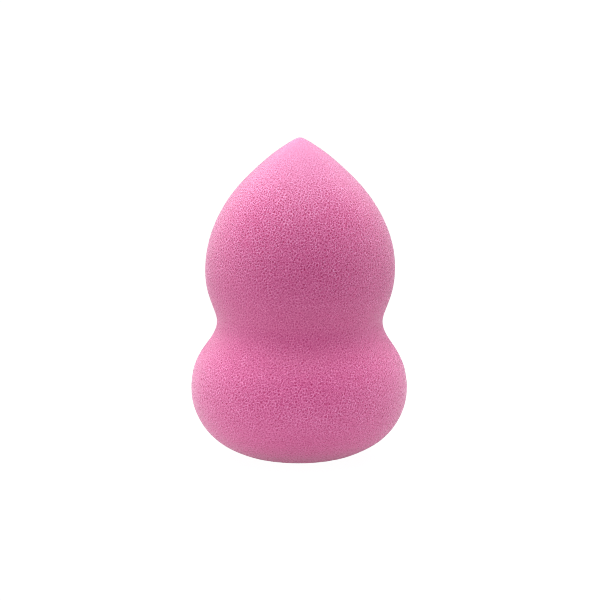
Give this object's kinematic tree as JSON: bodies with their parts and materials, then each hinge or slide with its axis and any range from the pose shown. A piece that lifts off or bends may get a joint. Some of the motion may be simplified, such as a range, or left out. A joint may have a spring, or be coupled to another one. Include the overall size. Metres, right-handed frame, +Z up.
{
  "type": "makeup sponge",
  "caption": "Gourd-shaped soft foam makeup sponge with a pointed upper bulb, a broad rounded lower bulb and a groove round the waist to hold it by, for dabbing on make-up.",
  "frame": {"origin": "centre of the flat at the bottom that the sponge stands on", "axes": "+Z up along the axis of revolution, from the base to the point; X and Y are alike"},
  "size_m": [0.0408, 0.0408, 0.06],
  "materials": {
    "foam": "matte open-cell foam"
  },
  "bodies": {
    "lower_bulb": {"lower_bulb": "foam"},
    "base": {"base": "foam"},
    "waist": {"waist": "foam"},
    "upper_bulb": {"upper_bulb": "foam", "shoulder": "foam"},
    "tip": {"tip": "foam"}
  },
  "joints": [
    {"name": "base_press", "type": "slide", "parent": "lower_bulb", "child": "base", "axis": [0, 0, 1], "range_m": [0, 0.005], "stiffness_N_per_m": 1500, "deforming": ["base"]},
    {"name": "waist_bend_x", "type": "hinge", "parent": "lower_bulb", "child": "waist", "pos_m": [0, 0, 0.022], "axis": [1, 0, 0], "range_deg": [-20, 20], "stiffness_Nm_per_rad": 0.09, "deforming": ["waist"]},
    {"name": "waist_bend_y", "type": "hinge", "parent": "waist", "child": "upper_bulb", "pos_m": [0, 0, 0.029], "axis": [0, 1, 0], "range_deg": [-20, 20], "stiffness_Nm_per_rad": 0.09, "deforming": ["waist"]},
    {"name": "tip_press", "type": "slide", "parent": "upper_bulb", "child": "tip", "axis": [0, 0, -1], "range_m": [0, 0.005], "stiffness_N_per_m": 400, "deforming": ["shoulder"]}
  ]
}
